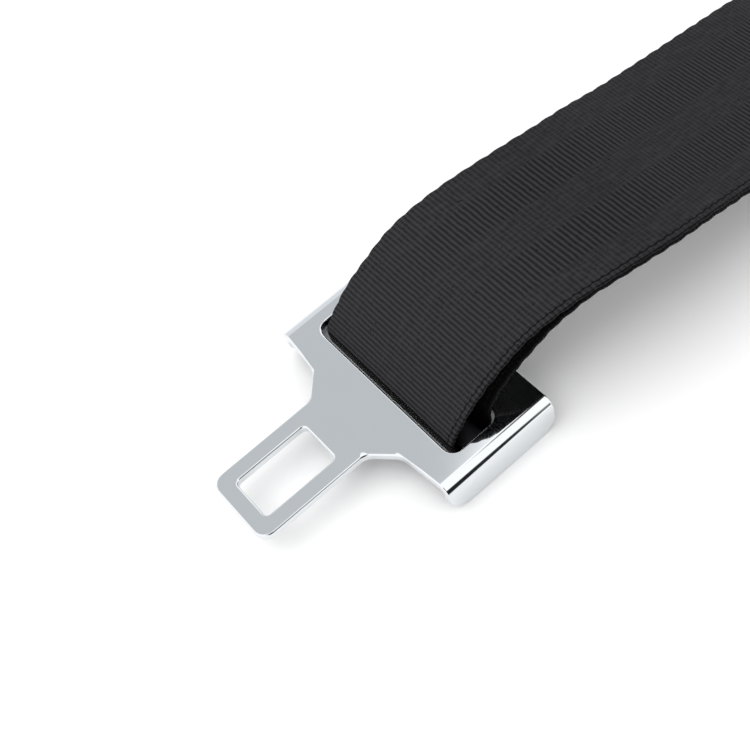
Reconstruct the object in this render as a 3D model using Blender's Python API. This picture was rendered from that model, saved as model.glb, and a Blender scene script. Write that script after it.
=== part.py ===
"""Seat belt extender: a chrome-plated tongue, a sewn loop of 48 mm webbing and a push-button buckle.

X runs from the tongue's tip to the buckle's mouth, Y is across the strap and Z is up from the surface
that the extender lies on. The origin is the middle of the buckle's flat underside. Lengths are in metres.
"""

import math

import bmesh
import bpy
from mathutils import Matrix, Vector

MM = 0.001
GAP = 0.3 * MM  # between two pieces that touch
SLIDE = 0.35 * MM  # beside a piece that slides

# The whole extender
OVERALL_LENGTH = 356 * MM

# Tongue: one pressed plate with two flanges turned down
TONGUE_THICKNESS = 2.5 * MM
TONGUE_LENGTH = 73.1 * MM
FLANGE_HEIGHT = 11.5 * MM  # from the surface below to the plate's top
TAB_WIDTH = 21.5 * MM
TAB_CORNER = 3.6 * MM
TAB_STRAIGHT = 31.8 * MM  # where the tab starts to widen
SHOULDER = 39.1 * MM
NECK_WIDTH = 34.4 * MM  # where the slanted sides meet the shoulders
BODY_WIDTH = 65.6 * MM
BEND_OUTSIDE = 3.6 * MM
WINDOW_FRONT = 4.7 * MM
WINDOW_LENGTH = 21.6 * MM
WINDOW_WIDTH = 12.5 * MM
SLOT_FRONT = 46.3 * MM
SLOT_LENGTH = 15.3 * MM
SLOT_WIDTH = 52 * MM
SLOT_CORNER = 3 * MM
TONGUE_EDGE = 0.45 * MM
FLANGE_REAR_CORNER = 5 * MM
FLANGE_FRONT_CORNER = 7 * MM
TAB_FILLET = 4 * MM
NECK_CORNER = 2.6 * MM
SHOULDER_SLANT = 1.2 * MM
WINDOW_CORNER = 1.2 * MM

# Rod in the webbing's bight, under the tongue's slot
ROD_DIAMETER = 6.4 * MM
ROD_END_GAP = 0.8 * MM  # to each flange
ROD_BEHIND_SLOT_FRONT = 7.75 * MM

# Webbing
WEB_WIDTH = 48 * MM
WEB_THICKNESS = 1.2 * MM
WEB_DRIFT = 11 * MM  # how far the strap bows to one side between its two ends
BIGHT_RADIUS = 5.65 * MM  # of the middle line of the slack loop that holds the rod
BIGHT_ABOVE_ROD = 1.4 * MM
BAR_ROUND = 0.7 * MM  # from the tail bar's front edge to the middle of the bight round it
TAIL_GAP = 0.7 * MM  # round the buckle's tail bar, which swings in its bight
OVERLAP_LENGTH = 47 * MM  # where three layers are sewn together
SEWN_BEFORE_TAIL = 14 * MM
HUMP_FROM_TIP = 112 * MM
HUMP_HEIGHT = 27.9 * MM  # above the tongue plate
PATH_STEP = 3 * MM
BIGHT_STEPS = 10
# The strap's line on its way up, as shares of the way from the slot to the hump and of the hump's height
RISE = [(0.035, 0), (0.091, 0.168), (0.175, 0.344), (0.277, 0.487), (0.406, 0.677), (0.559, 0.824)]
RISE += [(0.7, 0.921), (0.878, 0.993), (1, 1)]
# The same for the layer beneath it, from the hump back to the slot's rear edge
RETURN = [(0.528, 0.681), (0.437, 0.523), (0.352, 0.394), (0.285, 0.305), (0.242, 0.197), (0.215, 0.09)]
RETURN += [(0.204, -0.036)]
LAYERS_PART = 0.65  # share of the rise where the two layers come apart
# On its way down, as shares of the way from the hump to the tail bar and of the height between them
FALL = [(0.052, 0.978), (0.152, 0.87), (0.265, 0.778), (0.387, 0.69), (0.474, 0.614), (0.637, 0.354)]
FALL += [(0.806, 0.146), (0.922, 0.025)]
# Where the sideways bow starts, is full, starts back and ends, as shares of the way from slot to tail bar
BOW = (0.062, 0.335, 0.653, 0.973)

# Buckle frame: one bent plate
FRAME_THICKNESS = 2.5 * MM
CHANNEL_INSIDE = 22.5 * MM
CHANNEL_BEND = 1.0 * MM  # inside radius
WALL_REAR = -31.5 * MM
WALL_STEP = -2 * MM  # the tall walls end here
WALL_FRONT = 24 * MM
WALL_HEIGHT = 13.2 * MM
GUIDE_HEIGHT = 4.0 * MM  # the low walls beside the tongue
TAIL_END = -58 * MM
TAIL_WIDTH = 60 * MM
TAIL_BAR = 7 * MM
TAIL_SLOT_LENGTH = 6 * MM
TAIL_SLOT_WIDTH = 51 * MM
TAIL_REAR_CORNER = 5 * MM
TAIL_FRONT_CORNER = 4 * MM
TAIL_STRAIGHT = 1.5 * MM  # past the slot, where the tail starts to narrow
NECK_FILLET = 3 * MM
BEND_RELIEF = 1.5 * MM
RELIEF_CORNER = 0.6 * MM
WALL_CORNER = 2.5 * MM
WALL_SLOPE = 5 * MM
LATCH_HOLE_REAR = -5.2 * MM
LATCH_HOLE_FRONT = 1.4 * MM
LATCH_HOLE_WIDTH = 10.4 * MM
EJECTOR_SLOT_REAR = -30 * MM
EJECTOR_SLOT_WIDTH = 5.2 * MM

# Latch: bent lever with a rolled barrel at its pivot
LATCH_THICKNESS = 2.5 * MM
LATCH_PIVOT_X = -27 * MM
LATCH_UNDERSIDE = 6.4 * MM
LATCH_NOSE_X = -1 * MM  # front face of the nose
LATCH_NOSE_WIDTH = 8.4 * MM
LATCH_NOSE_BOTTOM = -1.8 * MM
LATCH_WIDTH = 15.8 * MM
LATCH_EAR_WIDTH = 21.4 * MM
LATCH_EAR_FRONT = -6.5 * MM
LATCH_EAR_LENGTH = 3 * MM
LATCH_ROLL = 280  # degrees
LATCH_NOSE_BEND = 1.2 * MM  # inside radius
LATCH_LIFT = 12  # degrees when the button is pressed right in
PIVOT_DIAMETER = 3 * MM
PIVOT_CLEARANCE = 0.15 * MM
PIN_GROOVE = 0.5 * MM
PIN_CLIP_THICKNESS = 0.7 * MM

# Button
BUTTON_TRAVEL = 6 * MM
BUTTON_REAR = 10 * MM
BUTTON_FRONT = 31 * MM
BUTTON_BOTTOM = 4.6 * MM
BUTTON_TOP = 19.5 * MM
BUTTON_WIDTH = 32 * MM
BUTTON_CORNER = 2.6 * MM
BUTTON_WALL = 2 * MM
BUTTON_FRONT_WALL = 4 * MM
BUTTON_ROUND = 2.2 * MM
BUTTON_DISH_RADIUS = 36 * MM
BUTTON_DISH_DEPTH = 1.3 * MM
BUTTON_FLANGE = 1.6 * MM  # how far its rear collar stands out on each side
ARM_THICKNESS = 2.3 * MM
ARM_REAR = -12 * MM
BUTTON_SPRING_DIAMETER = 4.2 * MM
BUTTON_SPRING_WIRE = 0.6 * MM
BUTTON_SPRING_SPACING = 14 * MM
BUTTON_SPRING_Z = 16 * MM
BUTTON_POCKET_DEPTH = 12 * MM

# Ejector
EJECTOR_FRONT = 2 * MM
EJECTOR_REAR = -8 * MM
EJECTOR_THICKNESS = 3.0 * MM
EJECTOR_TRAVEL = 11.4 * MM
EJECTOR_FORK_WIDTH = 10 * MM
EJECTOR_KEEL = 1.8 * MM
EJECTOR_SPRING_DIAMETER = 4.0 * MM
EJECTOR_SPRING_WIRE = 0.5 * MM

# Bridge over the channel
BRIDGE_THICKNESS = 2.0 * MM
BRIDGE_REAR = -22.3 * MM
BRIDGE_FRONT = -10 * MM
BRIDGE_LIP_HEIGHT = 3.9 * MM
BRIDGE_LUG_FRONT = -13.5 * MM
BRIDGE_LUG_REAR = -20.5 * MM
BRIDGE_LUG_HEIGHT = 6.5 * MM
RIVET_DIAMETER = 3 * MM
LATCH_SPRING_X = -19.4 * MM
LATCH_SPRING_DIAMETER = 4.4 * MM
LATCH_SPRING_WIRE = 0.6 * MM

# Covers
COVER_WALL = 2.0 * MM
COVER_WIDTH = 43 * MM
COVER_REAR = -38 * MM
COVER_FRONT = 31.5 * MM
COVER_TOP = 22 * MM
COVER_BOTTOM = -6.5 * MM
COVER_SPLIT = -1.25 * MM
COVER_REAR_CORNER = 6 * MM
COVER_FRONT_CORNER = 4.6 * MM
COVER_TAPER = 1.2 * MM  # each side, at the rear
COVER_ROUND = 4.2 * MM
COVER_UNDER_ROUND = 1.8 * MM
COVER_TAPER_LENGTH = 26 * MM
COVER_TAPER_BLEND = 40 * MM  # radius where the taper meets the straight side
THUMB_RADIUS = 19 * MM
THUMB_DEPTH = 6 * MM
MOUTH_WIDTH = 24.5 * MM
MOUTH_HEIGHT = 5.2 * MM
BOSS_DIAMETER = 5.6 * MM
BOSS_Y = 17 * MM
REAR_SCREW_X = -32.5 * MM
FRONT_SCREW_X = 0 * MM
SCREW_DIAMETER = 2.0 * MM
SCREW_LENGTH = 9 * MM
SCREW_HEAD_DIAMETER = 4.4 * MM
SCREW_HEAD_HEIGHT = 1.3 * MM
SCREW_CLEARANCE = 0.35 * MM

ROUND_SIDES = 18
SPRING_SIDES = 5
SPRING_STEPS = 8  # in each turn
CLOSED_TURNS = 0.7  # at each end of a spring
END_CLIMB = 0.12  # share of a spring's length that it climbs evenly from end to end

BUCKLE_X = -(COVER_REAR + COVER_FRONT) / 2
TIP_X = BUCKLE_X + COVER_FRONT - OVERALL_LENGTH
BUCKLE_Z = -COVER_BOTTOM


def clear_scene():
    for obj in list(bpy.data.objects):
        bpy.data.objects.remove(obj, do_unlink=True)


def material(name, colour, roughness, metallic):
    made = bpy.data.materials.new(name)
    made.use_nodes = True
    shader = made.node_tree.nodes["Principled BSDF"]
    shader.inputs["Base Color"].default_value = (*colour, 1)
    shader.inputs["Roughness"].default_value = roughness
    shader.inputs["Metallic"].default_value = metallic
    return made


def mesh_object(name, solid, origin, parent):
    """Turns a bmesh, given in its parent's frame, into an object whose own origin is at origin."""
    bmesh.ops.translate(solid, verts=solid.verts[:], vec=-Vector(origin))
    bmesh.ops.recalc_face_normals(solid, faces=solid.faces[:])
    mesh = bpy.data.meshes.new(name)
    solid.to_mesh(mesh)
    solid.free()
    obj = bpy.data.objects.new(name, mesh)
    bpy.context.scene.collection.objects.link(obj)
    obj.parent = parent
    obj.location = origin
    return obj


def piece(name, solid, finish, parent=None, origin=(0, 0, 0)):
    obj = mesh_object(name, solid, origin, parent)
    obj.data.materials.append(finish)
    obj.data.shade_smooth()
    obj.data.set_sharp_from_angle(angle=math.radians(35))
    return obj


def shape(obj, tool, operation):
    """Cuts a bmesh, given in the frame of the object's parent, from an object, or joins it on."""
    helper = mesh_object(f"{obj.name}_{operation.lower()}", tool, (0, 0, 0), obj.parent)
    helper.hide_render = True
    helper.display_type = "WIRE"
    modifier = obj.modifiers.new(operation.title(), "BOOLEAN")
    modifier.operation = operation
    modifier.object = helper


def empty(name, place, parent=None):
    made = bpy.data.objects.new(name, None)
    made.empty_display_size = 5 * MM
    bpy.context.scene.collection.objects.link(made)
    made.parent = parent
    made.location = place
    return made


def rounded(corners, steps=5):
    """An outline with filleted corners, from (x, y, radius) corners."""
    outline = []
    for i, (x, y, radius) in enumerate(corners):
        corner = Vector((x, y))
        if radius == 0:
            outline.append(corner)
            continue
        before = (Vector(corners[i - 1][:2]) - corner).normalized()
        after = (Vector(corners[(i + 1) % len(corners)][:2]) - corner).normalized()
        half = before.angle(after) / 2
        centre = corner + (before + after).normalized() * radius / math.sin(half)
        start = corner + before * radius / math.tan(half) - centre
        end = corner + after * radius / math.tan(half) - centre
        turn = start.angle_signed(end)
        for step in range(steps + 1):
            spoke = start.copy()
            spoke.rotate(Matrix.Rotation(-turn * step / steps, 2))
            outline.append(centre + spoke)
    return outline


def mirrored_outline(half, steps=5):
    """Closes an outline given by its corners on the +Y side, from low X to high X."""
    return rounded([(x, -y, r) for x, y, r in half] + [(x, y, r) for x, y, r in reversed(half)], steps)


def box_outline(x_low, x_high, width, radius, steps=5):
    return mirrored_outline([(x_low, width / 2, radius), (x_high, width / 2, radius)], steps)


def inset(outline, distance):
    """Moves each point of an anticlockwise outline inwards by a distance."""
    moved = []
    for i, point in enumerate(outline):
        first = (point - outline[i - 1]).normalized()
        second = (outline[(i + 1) % len(outline)] - point).normalized()
        along = (first + second).normalized()
        inward = Vector((-along.y, along.x))
        moved.append(point + inward * distance / max(0.5, math.cos(first.angle(second) / 2)))
    return moved


def loft(rings):
    """A closed solid through rings of equally many points, with a flat cap on each end."""
    solid = bmesh.new()
    rows = [[solid.verts.new(point) for point in ring] for ring in rings]
    for low, high in zip(rows, rows[1:]):
        for i in range(len(low)):
            solid.faces.new((low[i - 1], low[i], high[i], high[i - 1]))
    solid.faces.new(reversed(rows[0]))
    solid.faces.new(rows[-1])
    bmesh.ops.recalc_face_normals(solid, faces=solid.faces[:])
    return solid


def block(outline, z_low, z_high, round_low=0.0, round_high=0.0, steps=4):
    """An outline raised to a solid, with its lower and upper rims rounded."""
    levels = []
    for step in range(steps + 1 if round_low else 1):
        angle = math.radians(90) * step / steps
        levels.append((z_low + round_low * (1 - math.cos(angle)), round_low * (1 - math.sin(angle))))
    for step in range(steps + 1 if round_high else 1):
        angle = math.radians(90) * (1 - step / steps) if round_high else 0
        levels.append((z_high - round_high * (1 - math.cos(angle)), round_high * (1 - math.sin(angle))))
    return loft([[(p.x, p.y, z) for p in inset(outline, by)] for z, by in levels])


def box(x_low, x_high, y_low, y_high, z_low, z_high):
    outline = [Vector(p) for p in ((x_low, y_low), (x_high, y_low), (x_high, y_high), (x_low, y_high))]
    return block(outline, z_low, z_high)


def turned(profile, sides=ROUND_SIDES):
    """A solid turned about Z, from (radius, z) points."""
    rings = []
    for radius, z in profile:
        spokes = (math.tau * i / sides for i in range(sides))
        rings.append([(radius * math.cos(a), radius * math.sin(a), z) for a in spokes])
    return loft(rings)


def laid(solid, direction, place):
    """Turns a solid's Z axis to a direction and moves it to a place."""
    turn = Vector((0, 0, 1)).rotation_difference(Vector(direction)).to_matrix().to_4x4()
    bmesh.ops.transform(solid, matrix=Matrix.Translation(place) @ turn, verts=solid.verts[:])
    return solid


def plate(outline, holes, z_low, z_high, edge):
    """A plate with holes, whose edges are rounded all round."""
    flat = bmesh.new()
    loops = [inset(outline, edge)] + [inset(hole, -edge) for hole in holes]
    edges = []
    for loop in loops:
        corners = [flat.verts.new((p.x, p.y, 0)) for p in loop]
        edges += [flat.edges.new((a, b)) for a, b in zip(corners, corners[1:] + corners[:1])]
    bmesh.ops.triangle_fill(flat, edges=edges, use_beauty=True, normal=(0, 0, 1))
    flat.verts.index_update()
    triangles = [[v.index for v in face.verts] for face in flat.faces]
    flat.free()

    half_round = edge * (1 - math.sqrt(0.5))
    levels = [(z_low, edge), (z_low + half_round, half_round), (z_low + edge, 0)]
    levels += [(z_high - edge, 0), (z_high - half_round, half_round), (z_high, edge)]
    solid = bmesh.new()
    rows = []
    for z, by in levels:
        shifted = [inset(outline, by)] + [inset(hole, -by) for hole in holes]
        rows.append([[solid.verts.new((p.x, p.y, z)) for p in loop] for loop in shifted])
    for low, high in zip(rows, rows[1:]):
        for low_loop, high_loop in zip(low, high):
            for i in range(len(low_loop)):
                solid.faces.new((low_loop[i - 1], low_loop[i], high_loop[i], high_loop[i - 1]))
    for row in (rows[0], rows[-1]):
        corners = [v for loop in row for v in loop]
        for triangle in triangles:
            solid.faces.new([corners[i] for i in triangle])
    bmesh.ops.recalc_face_normals(solid, faces=solid.faces[:])
    return solid


def bend(solid, axis, start, side, middle, radius, angle, up, past=None, steps=6):
    """Bends what lies past a line of a flat plate round a radius of its middle surface, as a press does.

    axis is 0 for X or 1 for Y, side is the way along it that bends, and middle is the plate's middle height.
    past, where given, limits the bend to one side of another X.
    """
    length = radius * angle
    across = Vector((1, 0, 0)) if axis == 0 else Vector((0, 1, 0))
    for step in range(steps + 1):
        everything = solid.verts[:] + solid.edges[:] + solid.faces[:]
        line = across * (start + side * length * step / steps)
        bmesh.ops.bisect_plane(solid, geom=everything, dist=1e-7, plane_co=line, plane_no=across)
    sense = 1 if up else -1
    for vertex in solid.verts:
        beyond = (vertex.co[axis] - start) * side
        if beyond <= 1e-9 or (past is not None and vertex.co.x < past):
            continue
        curved = min(beyond, length)
        straight = beyond - curved
        turn = curved / radius
        off = vertex.co.z - middle
        along = (radius - sense * off) * math.sin(turn) + straight * math.cos(turn)
        rise = radius - (radius - sense * off) * math.cos(turn) + straight * math.sin(turn)
        vertex.co[axis] = start + side * along
        vertex.co.z = middle + sense * rise


def smooth_path(points, step):
    """Points about a step apart on one smooth curve through the given points."""
    ends = [points[0] * 2 - points[1]] + points + [points[-1] * 2 - points[-2]]
    path = []
    for before, first, second, after in zip(ends, ends[1:], ends[2:], ends[3:]):
        count = max(1, round((second - first).length / step))
        chord = (second - first).length
        lead_in = (second - before).normalized() * chord
        lead_out = (after - first).normalized() * chord
        for i in range(count):
            t = i / count
            path.append(
                first * (2 * t**3 - 3 * t**2 + 1)
                + lead_in * (t**3 - 2 * t**2 + t)
                + second * (3 * t**2 - 2 * t**3)
                + lead_out * (t**3 - t**2)
            )
    return path + [points[-1]]


def arc(centre, radius, first, last, steps):
    """Points in the XZ plane round a centre, with angles in degrees from +X towards +Z."""
    points = []
    for i in range(steps + 1):
        angle = math.radians(first + (last - first) * i / steps)
        points.append(centre + Vector((radius * math.cos(angle), radius * math.sin(angle))))
    return points


def offset_path(path, distance):
    """The path moved to its left by a distance."""
    moved = []
    for i, point in enumerate(path):
        along = (path[min(i + 1, len(path) - 1)] - path[max(i - 1, 0)]).normalized()
        moved.append(point + Vector((-along.y, along.x)) * distance)
    return moved


def spring(length, diameter, wire, turns):
    """A compression spring along Z from 0, whose end turns climb less than the others."""
    radius = (diameter - wire) / 2
    steps = turns * SPRING_STEPS
    end_share = CLOSED_TURNS / turns
    rings = []
    for i in range(steps + 1):
        share = i / steps
        climb = min(max((share - end_share) / (1 - 2 * end_share), 0), 1)
        z = wire / 2 + (length - wire) * (END_CLIMB * share + (1 - END_CLIMB) * climb)
        angle = math.tau * turns * share
        centre = Vector((radius * math.cos(angle), radius * math.sin(angle), z))
        outward = Vector((math.cos(angle), math.sin(angle), 0))
        ring = []
        for k in range(SPRING_SIDES):
            spoke = math.tau * k / SPRING_SIDES
            ring.append(centre + (outward * math.cos(spoke) + Vector((0, 0, math.sin(spoke)))) * wire / 2)
        rings.append(ring)
    return loft(rings)


def tongue_plate():
    """Blanked flat, its edges rounded, then both sides bent down over the press."""
    middle_radius = BEND_OUTSIDE - TONGUE_THICKNESS / 2
    bend_line = BODY_WIDTH / 2 - BEND_OUTSIDE
    flat_half = bend_line + middle_radius * math.pi / 2 + FLANGE_HEIGHT - BEND_OUTSIDE
    outline = mirrored_outline(
        [
            (TIP_X, TAB_WIDTH / 2, TAB_CORNER),
            (TIP_X + TAB_STRAIGHT, TAB_WIDTH / 2, TAB_FILLET),
            (TIP_X + SHOULDER - SHOULDER_SLANT, NECK_WIDTH / 2, NECK_CORNER),
            (TIP_X + SHOULDER, bend_line, 0),
            (TIP_X + SHOULDER, flat_half, FLANGE_FRONT_CORNER),
            (TIP_X + TONGUE_LENGTH, flat_half, FLANGE_REAR_CORNER),
        ]
    )
    window_front = TIP_X + WINDOW_FRONT
    slot_front = TIP_X + SLOT_FRONT
    window = box_outline(window_front, window_front + WINDOW_LENGTH, WINDOW_WIDTH, WINDOW_CORNER)
    slot = box_outline(slot_front, slot_front + SLOT_LENGTH, SLOT_WIDTH, SLOT_CORNER)
    solid = plate(outline, [window, slot], FLANGE_HEIGHT - TONGUE_THICKNESS, FLANGE_HEIGHT, TONGUE_EDGE)
    middle = FLANGE_HEIGHT - TONGUE_THICKNESS / 2
    for side in (-1, 1):
        bend(solid, 1, side * bend_line, side, middle, middle_radius, math.pi / 2, False)
    return piece("tongue_plate", solid, CHROME, origin=(TIP_X, 0, FLANGE_HEIGHT))


def rod_place():
    """Centre of the rod, in X and Z."""
    z = FLANGE_HEIGHT - TONGUE_THICKNESS - GAP - ROD_DIAMETER / 2
    return Vector((TIP_X + SLOT_FRONT + ROD_BEHIND_SLOT_FRONT, z))


def bight_rod():
    """The rod that the webbing's bight holds under the slot, which it is too long to pass through."""
    chamfer = 0.6 * MM
    radius = ROD_DIAMETER / 2
    half = BODY_WIDTH / 2 - TONGUE_THICKNESS - ROD_END_GAP
    profile = [(radius - chamfer, -half), (radius, -half + chamfer)]
    profile += [(radius, half - chamfer), (radius - chamfer, half)]
    centre = rod_place()
    place = (centre.x, 0, centre.y)
    return piece("bight_rod", laid(turned(profile), (0, 1, 0), place), BLACKENED, origin=place)


def strap_path():
    """The webbing's middle line in X and Z, from end to end round both bights."""
    layer = WEB_THICKNESS + GAP
    half = WEB_THICKNESS / 2
    top = FLANGE_HEIGHT
    bar_top = BUCKLE_Z + TAIL_GAP + half
    tail_x = BUCKLE_X + TAIL_END

    slot_x = TIP_X + SLOT_FRONT
    hump_x = TIP_X + HUMP_FROM_TIP
    hump_top = top + HUMP_HEIGHT

    def rising(share, height):
        return Vector((slot_x + (hump_x - slot_x) * share, top + HUMP_HEIGHT * height))

    def falling(share, height):
        return Vector((hump_x + (tail_x - hump_x) * share, bar_top + (hump_top - bar_top) * height))

    bight = rod_place() + Vector((0, BIGHT_ABOVE_ROD))
    tongue_bight = arc(bight, BIGHT_RADIUS, 0, -180, BIGHT_STEPS)
    over_bar = Vector((tail_x + TAIL_BAR - BAR_ROUND, BUCKLE_Z - FRAME_THICKNESS / 2))
    tail_bight = arc(over_bar, FRAME_THICKNESS / 2 + TAIL_GAP + half, 90, -90, BIGHT_STEPS)
    turns = [rising(*share) for share in RISE] + [falling(*share) for share in FALL]
    on_bar = Vector((tail_x + TAIL_BAR / 7, bar_top))
    upper = smooth_path([tongue_bight[-1]] + turns + [on_bar, tail_bight[0]], PATH_STEP)[1:-1]

    sewn_rear = tail_x - SEWN_BEFORE_TAIL
    sewn_front = sewn_rear - OVERLAP_LENGTH
    parted_x = rising(LAYERS_PART, 0).x
    first_layer = [p for p in offset_path(upper, -layer) if parted_x < p.x < sewn_rear]
    return_layer = [p for p in offset_path(upper, -2 * layer) if sewn_front < p.x < sewn_rear]
    over_rear_edge = [rising(*share) for share in RETURN]
    under = smooth_path([first_layer[1], first_layer[0]] + over_rear_edge + [tongue_bight[0]], PATH_STEP)
    rear_leg = [p for p in under if p.x < first_layer[0].x - PATH_STEP / 3][:-1]
    back = smooth_path(
        [tail_bight[-1], Vector((tail_x, tail_bight[-1].y)), return_layer[-1], return_layer[-2]], PATH_STEP
    )
    tail_return = [p for p in back[1:] if p.x > return_layer[-1].x + PATH_STEP / 3]
    path = first_layer[::-1] + rear_leg + tongue_bight + upper + tail_bight + tail_return
    return path + return_layer[::-1]


def strap_drift(x):
    """How far the strap has bowed to the -Y side at X."""
    slot_x = TIP_X + SLOT_FRONT
    leaves, widest, turns_back, straight = (slot_x + (BUCKLE_X + TAIL_END - slot_x) * share for share in BOW)
    if x < widest:
        share = min(max((x - leaves) / (widest - leaves), 0), 1)
    else:
        share = 1 - min(max((x - turns_back) / (straight - turns_back), 0), 1)
    return -WEB_DRIFT * (1 - math.cos(math.pi * share)) / 2


def webbing_strap():
    """One length of webbing with a bight round the rod and one round the buckle's tail bar."""
    path = strap_path()
    left = offset_path(path, WEB_THICKNESS / 2)
    right = offset_path(path, -WEB_THICKNESS / 2)
    rings = []
    for point, outer, inner in zip(path, left, right):
        drift = strap_drift(point.x)
        right_edge = drift - WEB_WIDTH / 2
        left_edge = drift + WEB_WIDTH / 2
        corners = [(outer, right_edge), (outer, left_edge), (inner, left_edge), (inner, right_edge)]
        rings.append([(place.x, y, place.y) for place, y in corners])
    return piece("webbing_strap", loft(rings), WEBBING)


def buckle_frame(parent):
    """One blank: the tail with its slot, the base, and two walls bent up beside the tongue's path."""
    middle_radius = CHANNEL_BEND + FRAME_THICKNESS / 2
    bend_line = CHANNEL_INSIDE / 2 - CHANNEL_BEND
    neck = CHANNEL_INSIDE / 2 + FRAME_THICKNESS
    allowance = bend_line + middle_radius * math.pi / 2 - CHANNEL_BEND
    tall = allowance + WALL_HEIGHT
    low = allowance + GUIDE_HEIGHT
    slot_rear = TAIL_END + TAIL_BAR
    slot_front = slot_rear + TAIL_SLOT_LENGTH
    outline = mirrored_outline(
        [
            (TAIL_END, TAIL_WIDTH / 2, TAIL_REAR_CORNER),
            (slot_front + TAIL_STRAIGHT, TAIL_WIDTH / 2, TAIL_FRONT_CORNER),
            (COVER_REAR - 1 * MM, neck, NECK_FILLET),
            (WALL_REAR - BEND_RELIEF, neck, RELIEF_CORNER),
            (WALL_REAR - BEND_RELIEF, bend_line, RELIEF_CORNER),
            (WALL_REAR, bend_line, RELIEF_CORNER),
            (WALL_REAR, tall, WALL_CORNER),
            (WALL_STEP, tall, WALL_CORNER),
            (WALL_STEP + WALL_SLOPE, low, WALL_CORNER),
            (WALL_FRONT, low, 2 * MM),
        ],
        3,
    )
    tail_slot = box_outline(slot_rear, slot_front, TAIL_SLOT_WIDTH, 1.5 * MM, 3)
    latch_hole = mirrored_outline(
        [
            (EJECTOR_SLOT_REAR, EJECTOR_SLOT_WIDTH / 2, 1 * MM),
            (LATCH_HOLE_REAR, EJECTOR_SLOT_WIDTH / 2, 0.5 * MM),
            (LATCH_HOLE_REAR, LATCH_HOLE_WIDTH / 2, 0.8 * MM),
            (LATCH_HOLE_FRONT, LATCH_HOLE_WIDTH / 2, 0.8 * MM),
        ],
        3,
    )
    solid = plate(outline, [tail_slot, latch_hole], -FRAME_THICKNESS, 0, 0.3 * MM)
    for side in (-1, 1):
        bend(
            solid, 1, side * bend_line, side, -FRAME_THICKNESS / 2, middle_radius, math.pi / 2, True,
            WALL_REAR - BEND_RELIEF / 2, 4,
        )
    frame = piece("buckle_frame", solid, CHROME, parent)
    through = CHANNEL_INSIDE + 4 * FRAME_THICKNESS
    pivot_radius = PIVOT_DIAMETER / 2 + PIVOT_CLEARANCE
    pivot = turned([(pivot_radius, 0), (pivot_radius, through)])
    shape(frame, laid(pivot, (0, 1, 0), (LATCH_PIVOT_X, -through / 2, latch_pivot_z())), "DIFFERENCE")
    rivet_hole = turned([(RIVET_DIAMETER / 2 + GAP, 0), (RIVET_DIAMETER / 2 + GAP, through)])
    shape(frame, laid(rivet_hole, (0, 1, 0), (rivet_x(), -through / 2, rivet_z())), "DIFFERENCE")
    return frame


def latch_roll_radius():
    """Radius of the rolled barrel's middle surface."""
    return PIVOT_DIAMETER / 2 + PIVOT_CLEARANCE + LATCH_THICKNESS / 2


def latch_pivot_z():
    return LATCH_UNDERSIDE + LATCH_THICKNESS / 2 + latch_roll_radius()


def latch(parent):
    """A blank with two ears, its nose bent down and its rear rolled up round the pivot pin."""
    roll = latch_roll_radius()
    nose_bend = LATCH_NOSE_BEND + LATCH_THICKNESS / 2
    nose_start = LATCH_NOSE_X - LATCH_THICKNESS / 2 - nose_bend
    nose_drop = LATCH_UNDERSIDE + LATCH_THICKNESS / 2 - LATCH_NOSE_BOTTOM
    nose_flat = nose_bend * math.pi / 2 + nose_drop - nose_bend
    roll_flat = roll * math.radians(LATCH_ROLL)
    ear_rear = LATCH_EAR_FRONT - LATCH_EAR_LENGTH
    outline = mirrored_outline(
        [
            (LATCH_PIVOT_X - roll_flat, LATCH_EAR_WIDTH / 2, 0),
            (LATCH_PIVOT_X + roll + 1.5 * MM, LATCH_EAR_WIDTH / 2, 1 * MM),
            (LATCH_PIVOT_X + roll + 3 * MM, LATCH_WIDTH / 2, 1 * MM),
            (ear_rear, LATCH_WIDTH / 2, 0.6 * MM),
            (ear_rear, LATCH_EAR_WIDTH / 2, 0.6 * MM),
            (LATCH_EAR_FRONT, LATCH_EAR_WIDTH / 2, 0.6 * MM),
            (LATCH_EAR_FRONT, LATCH_WIDTH / 2, 0.6 * MM),
            (nose_start - 0.4 * MM, LATCH_NOSE_WIDTH / 2, 0.4 * MM),
            (nose_start + nose_flat, LATCH_NOSE_WIDTH / 2, 1 * MM),
        ],
        3,
    )
    top = LATCH_UNDERSIDE + LATCH_THICKNESS
    middle = LATCH_UNDERSIDE + LATCH_THICKNESS / 2
    solid = plate(outline, [], LATCH_UNDERSIDE, top, 0.3 * MM)
    bend(solid, 0, nose_start, 1, middle, nose_bend, math.pi / 2, False)
    bend(solid, 0, LATCH_PIVOT_X, -1, middle, roll, math.radians(LATCH_ROLL), True, steps=11)
    return piece("latch", solid, ZINC, parent, (LATCH_PIVOT_X, 0, latch_pivot_z()))


def pin_ends():
    """Y of the pin's head and of its clip."""
    return CHANNEL_INSIDE / 2 + FRAME_THICKNESS + GAP


def latch_pin(parent):
    """Headed pivot pin with a groove for its clip."""
    radius = PIVOT_DIAMETER / 2
    head = pin_ends()
    clip = head + PIN_CLIP_THICKNESS + 2 * GAP
    groove = radius - PIN_GROOVE
    rim = radius + 1.2 * MM
    profile = [(rim - 0.2 * MM, -head - 1.2 * MM), (rim, -head - 0.9 * MM), (rim, -head), (radius, -head)]
    profile += [(radius, head - 0.2 * MM), (groove, head), (groove, clip), (radius, clip + 0.2 * MM)]
    profile += [(radius - 0.3 * MM, clip + 0.9 * MM)]
    place = (LATCH_PIVOT_X, 0, latch_pivot_z())
    return piece("latch_pin", laid(turned(profile), (0, 1, 0), place), STEEL, parent, place)


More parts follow.
